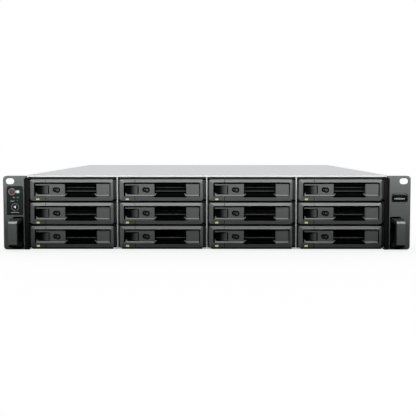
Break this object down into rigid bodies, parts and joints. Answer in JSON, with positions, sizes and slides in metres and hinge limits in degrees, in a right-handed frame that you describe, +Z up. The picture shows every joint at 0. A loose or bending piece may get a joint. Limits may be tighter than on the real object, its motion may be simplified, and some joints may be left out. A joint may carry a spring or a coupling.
{
  "type": "rackmount network attached storage",
  "caption": "Two-unit rack storage server: hot-swap drive trays with pull levers and latch buttons, rack ears with handles, slide-back cover, fans and plug-in power supplies.",
  "frame": {"origin": "middle of the whole object's box in plan, on the surface that the body stands on", "axes": "X across the front (positive to the right, seen from the front), +Y from the front to the back, +Z up"},
  "size_m": [0.482, 0.6, 0.088],
  "materials": {
    "body_sheet": "light silver-grey satin powder coat on folded steel sheet",
    "cage_sheet": "bare zinc-plated steel sheet, satin",
    "tray_body": "dark grey satin moulded bezel with the disk drive's die-cast case behind it",
    "lever_plastic": "dark grey fine-textured moulding",
    "latch_gloss": "piano-black gloss",
    "ear_plastic": "dark grey fine-textured moulding",
    "fascia_gloss": "dark grey gloss panel",
    "control_button": "dark translucent button",
    "board_green": "green glass-fibre circuit board",
    "heatsink_metal": "extruded aluminium, satin",
    "fan_plastic": "black moulded fan plastic",
    "psu_case": "satin metal case",
    "latch_blue": "blue touch-point moulding"
  },
  "bodies": {
    "chassis": {"chassis_tub": "body_sheet", "front_cover": "body_sheet", "rear_panel": "body_sheet", "drive_cage": "cage_sheet", "left_ear": "ear_plastic", "right_ear": "ear_plastic", "left_handle": "ear_plastic", "right_handle": "ear_plastic", "control_fascia": "fascia_gloss", "drive_backplane": "board_green", "main_board": "board_green", "port_block": "cage_sheet", "cpu_heatsink": "heatsink_metal", "fan_wall": "fan_plastic"},
    "tray_r1c1": {"tray_r1c1": "tray_body"},
    "lever_r1c1": {"lever_r1c1": "lever_plastic"},
    "latch_button_r1c1": {"latch_button_r1c1": "latch_gloss"},
    "tray_r1c2": {"tray_r1c2": "tray_body"},
    "lever_r1c2": {"lever_r1c2": "lever_plastic"},
    "latch_button_r1c2": {"latch_button_r1c2": "latch_gloss"},
    "tray_r1c3": {"tray_r1c3": "tray_body"},
    "lever_r1c3": {"lever_r1c3": "lever_plastic"},
    "latch_button_r1c3": {"latch_button_r1c3": "latch_gloss"},
    "tray_r1c4": {"tray_r1c4": "tray_body"},
    "lever_r1c4": {"lever_r1c4": "lever_plastic"},
    "latch_button_r1c4": {"latch_button_r1c4": "latch_gloss"},
    "tray_r2c1": {"tray_r2c1": "tray_body"},
    "lever_r2c1": {"lever_r2c1": "lever_plastic"},
    "latch_button_r2c1": {"latch_button_r2c1": "latch_gloss"},
    "tray_r2c2": {"tray_r2c2": "tray_body"},
    "lever_r2c2": {"lever_r2c2": "lever_plastic"},
    "latch_button_r2c2": {"latch_button_r2c2": "latch_gloss"},
    "tray_r2c3": {"tray_r2c3": "tray_body"},
    "lever_r2c3": {"lever_r2c3": "lever_plastic"},
    "latch_button_r2c3": {"latch_button_r2c3": "latch_gloss"},
    "tray_r2c4": {"tray_r2c4": "tray_body"},
    "lever_r2c4": {"lever_r2c4": "lever_plastic"},
    "latch_button_r2c4": {"latch_button_r2c4": "latch_gloss"},
    "tray_r3c1": {"tray_r3c1": "tray_body"},
    "lever_r3c1": {"lever_r3c1": "lever_plastic"},
    "latch_button_r3c1": {"latch_button_r3c1": "latch_gloss"},
    "tray_r3c2": {"tray_r3c2": "tray_body"},
    "lever_r3c2": {"lever_r3c2": "lever_plastic"},
    "latch_button_r3c2": {"latch_button_r3c2": "latch_gloss"},
    "tray_r3c3": {"tray_r3c3": "tray_body"},
    "lever_r3c3": {"lever_r3c3": "lever_plastic"},
    "latch_button_r3c3": {"latch_button_r3c3": "latch_gloss"},
    "tray_r3c4": {"tray_r3c4": "tray_body"},
    "lever_r3c4": {"lever_r3c4": "lever_plastic"},
    "latch_button_r3c4": {"latch_button_r3c4": "latch_gloss"},
    "fan_rotor_1": {"fan_rotor_1": "fan_plastic"},
    "fan_rotor_2": {"fan_rotor_2": "fan_plastic"},
    "fan_rotor_3": {"fan_rotor_3": "fan_plastic"},
    "power_button": {"power_button": "control_button"},
    "mute_button": {"mute_button": "control_button"},
    "rear_cover": {"rear_cover": "body_sheet"},
    "psu_upper": {"psu_upper": "psu_case"},
    "psu_latch_upper": {"psu_latch_upper": "latch_blue"},
    "psu_lower": {"psu_lower": "psu_case"},
    "psu_latch_lower": {"psu_latch_lower": "latch_blue"}
  },
  "joints": [
    {"name": "tray_slide_r1c1", "type": "slide", "parent": "chassis", "child": "tray_r1c1", "axis": [0, -1, 0], "range_m": [0, 0.18]},
    {"name": "tray_slide_r1c2", "type": "slide", "parent": "chassis", "child": "tray_r1c2", "axis": [0, -1, 0], "range_m": [0, 0.18]},
    {"name": "tray_slide_r1c3", "type": "slide", "parent": "chassis", "child": "tray_r1c3", "axis": [0, -1, 0], "range_m": [0, 0.18]},
    {"name": "tray_slide_r1c4", "type": "slide", "parent": "chassis", "child": "tray_r1c4", "axis": [0, -1, 0], "range_m": [0, 0.18]},
    {"name": "tray_slide_r2c1", "type": "slide", "parent": "chassis", "child": "tray_r2c1", "axis": [0, -1, 0], "range_m": [0, 0.18]},
    {"name": "tray_slide_r2c2", "type": "slide", "parent": "chassis", "child": "tray_r2c2", "axis": [0, -1, 0], "range_m": [0, 0.18]},
    {"name": "tray_slide_r2c3", "type": "slide", "parent": "chassis", "child": "tray_r2c3", "axis": [0, -1, 0], "range_m": [0, 0.18]},
    {"name": "tray_slide_r2c4", "type": "slide", "parent": "chassis", "child": "tray_r2c4", "axis": [0, -1, 0], "range_m": [0, 0.18]},
    {"name": "tray_slide_r3c1", "type": "slide", "parent": "chassis", "child": "tray_r3c1", "axis": [0, -1, 0], "range_m": [0, 0.18]},
    {"name": "tray_slide_r3c2", "type": "slide", "parent": "chassis", "child": "tray_r3c2", "axis": [0, -1, 0], "range_m": [0, 0.18]},
    {"name": "tray_slide_r3c3", "type": "slide", "parent": "chassis", "child": "tray_r3c3", "axis": [0, -1, 0], "range_m": [0, 0.18]},
    {"name": "tray_slide_r3c4", "type": "slide", "parent": "chassis", "child": "tray_r3c4", "axis": [0, -1, 0], "range_m": [0, 0.18]},
    {"name": "lever_hinge_r1c1", "type": "hinge", "parent": "tray_r1c1", "child": "lever_r1c1", "pos_m": [-0.1241, -0.2695, 0.07025], "axis": [0, 0, 1], "range_deg": [0, 70]},
    {"name": "lever_hinge_r1c2", "type": "hinge", "parent": "tray_r1c2", "child": "lever_r1c2", "pos_m": [-0.0175, -0.2695, 0.07025], "axis": [0, 0, 1], "range_deg": [0, 70]},
    {"name": "lever_hinge_r1c3", "type": "hinge", "parent": "tray_r1c3", "child": "lever_r1c3", "pos_m": [0.0891, -0.2695, 0.07025], "axis": [0, 0, 1], "range_deg": [0, 70]},
    {"name": "lever_hinge_r1c4", "type": "hinge", "parent": "tray_r1c4", "child": "lever_r1c4", "pos_m": [0.1957, -0.2695, 0.07025], "axis": [0, 0, 1], "range_deg": [0, 70]},
    {"name": "lever_hinge_r2c1", "type": "hinge", "parent": "tray_r2c1", "child": "lever_r2c1", "pos_m": [-0.1241, -0.2695, 0.04235], "axis": [0, 0, 1], "range_deg": [0, 70]},
    {"name": "lever_hinge_r2c2", "type": "hinge", "parent": "tray_r2c2", "child": "lever_r2c2", "pos_m": [-0.0175, -0.2695, 0.04235], "axis": [0, 0, 1], "range_deg": [0, 70]},
    {"name": "lever_hinge_r2c3", "type": "hinge", "parent": "tray_r2c3", "child": "lever_r2c3", "pos_m": [0.0891, -0.2695, 0.04235], "axis": [0, 0, 1], "range_deg": [0, 70]},
    {"name": "lever_hinge_r2c4", "type": "hinge", "parent": "tray_r2c4", "child": "lever_r2c4", "pos_m": [0.1957, -0.2695, 0.04235], "axis": [0, 0, 1], "range_deg": [0, 70]},
    {"name": "lever_hinge_r3c1", "type": "hinge", "parent": "tray_r3c1", "child": "lever_r3c1", "pos_m": [-0.1241, -0.2695, 0.01445], "axis": [0, 0, 1], "range_deg": [0, 70]},
    {"name": "lever_hinge_r3c2", "type": "hinge", "parent": "tray_r3c2", "child": "lever_r3c2", "pos_m": [-0.0175, -0.2695, 0.01445], "axis": [0, 0, 1], "range_deg": [0, 70]},
    {"name": "lever_hinge_r3c3", "type": "hinge", "parent": "tray_r3c3", "child": "lever_r3c3", "pos_m": [0.0891, -0.2695, 0.01445], "axis": [0, 0, 1], "range_deg": [0, 70]},
    {"name": "lever_hinge_r3c4", "type": "hinge", "parent": "tray_r3c4", "child": "lever_r3c4", "pos_m": [0.1957, -0.2695, 0.01445], "axis": [0, 0, 1], "range_deg": [0, 70]},
    {"name": "latch_press_r1c1", "type": "slide", "parent": "tray_r1c1", "child": "latch_button_r1c1", "axis": [0, 1, 0], "range_m": [0, 0.002], "stiffness_N_per_m": 300},
    {"name": "latch_press_r1c2", "type": "slide", "parent": "tray_r1c2", "child": "latch_button_r1c2", "axis": [0, 1, 0], "range_m": [0, 0.002], "stiffness_N_per_m": 300},
    {"name": "latch_press_r1c3", "type": "slide", "parent": "tray_r1c3", "child": "latch_button_r1c3", "axis": [0, 1, 0], "range_m": [0, 0.002], "stiffness_N_per_m": 300},
    {"name": "latch_press_r1c4", "type": "slide", "parent": "tray_r1c4", "child": "latch_button_r1c4", "axis": [0, 1, 0], "range_m": [0, 0.002], "stiffness_N_per_m": 300},
    {"name": "latch_press_r2c1", "type": "slide", "parent": "tray_r2c1", "child": "latch_button_r2c1", "axis": [0, 1, 0], "range_m": [0, 0.002], "stiffness_N_per_m": 300},
    {"name": "latch_press_r2c2", "type": "slide", "parent": "tray_r2c2", "child": "latch_button_r2c2", "axis": [0, 1, 0], "range_m": [0, 0.002], "stiffness_N_per_m": 300},
    {"name": "latch_press_r2c3", "type": "slide", "parent": "tray_r2c3", "child": "latch_button_r2c3", "axis": [0, 1, 0], "range_m": [0, 0.002], "stiffness_N_per_m": 300},
    {"name": "latch_press_r2c4", "type": "slide", "parent": "tray_r2c4", "child": "latch_button_r2c4", "axis": [0, 1, 0], "range_m": [0, 0.002], "stiffness_N_per_m": 300},
    {"name": "latch_press_r3c1", "type": "slide", "parent": "tray_r3c1", "child": "latch_button_r3c1", "axis": [0, 1, 0], "range_m": [0, 0.002], "stiffness_N_per_m": 300},
    {"name": "latch_press_r3c2", "type": "slide", "parent": "tray_r3c2", "child": "latch_button_r3c2", "axis": [0, 1, 0], "range_m": [0, 0.002], "stiffness_N_per_m": 300},
    {"name": "latch_press_r3c3", "type": "slide", "parent": "tray_r3c3", "child": "latch_button_r3c3", "axis": [0, 1, 0], "range_m": [0, 0.002], "stiffness_N_per_m": 300},
    {"name": "latch_press_r3c4", "type": "slide", "parent": "tray_r3c4", "child": "latch_button_r3c4", "axis": [0, 1, 0], "range_m": [0, 0.002], "stiffness_N_per_m": 300},
    {"name": "fan_spin_1", "type": "hinge", "parent": "chassis", "child": "fan_rotor_1", "pos_m": [-0.125, -0.0425, 0.043], "axis": [0, 1, 0], "continuous": true},
    {"name": "fan_spin_2", "type": "hinge", "parent": "chassis", "child": "fan_rotor_2", "pos_m": [0, -0.0425, 0.043], "axis": [0, 1, 0], "continuous": true},
    {"name": "fan_spin_3", "type": "hinge", "parent": "chassis", "child": "fan_rotor_3", "pos_m": [0.125, -0.0425, 0.043], "axis": [0, 1, 0], "continuous": true},
    {"name": "power_press", "type": "slide", "parent": "chassis", "child": "power_button", "axis": [0, 1, 0], "range_m": [0, 0.0008], "stiffness_N_per_m": 600},
    {"name": "mute_press", "type": "slide", "parent": "chassis", "child": "mute_button", "axis": [0, 1, 0], "range_m": [0, 0.0008], "stiffness_N_per_m": 600},
    {"name": "rear_cover_slide", "type": "slide", "parent": "chassis", "child": "rear_cover", "axis": [0, 1, 0], "range_m": [0, 0.012]},
    {"name": "psu_slide_upper", "type": "slide", "parent": "chassis", "child": "psu_upper", "axis": [0, 1, 0], "range_m": [0, 0.19]},
    {"name": "psu_latch_slide_upper", "type": "slide", "parent": "psu_upper", "child": "psu_latch_upper", "axis": [-1, 0, 0], "range_m": [0, 0.003], "stiffness_N_per_m": 400},
    {"name": "psu_slide_lower", "type": "slide", "parent": "chassis", "child": "psu_lower", "axis": [0, 1, 0], "range_m": [0, 0.19]},
    {"name": "psu_latch_slide_lower", "type": "slide", "parent": "psu_lower", "child": "psu_latch_lower", "axis": [-1, 0, 0], "range_m": [0, 0.003], "stiffness_N_per_m": 400}
  ]
}
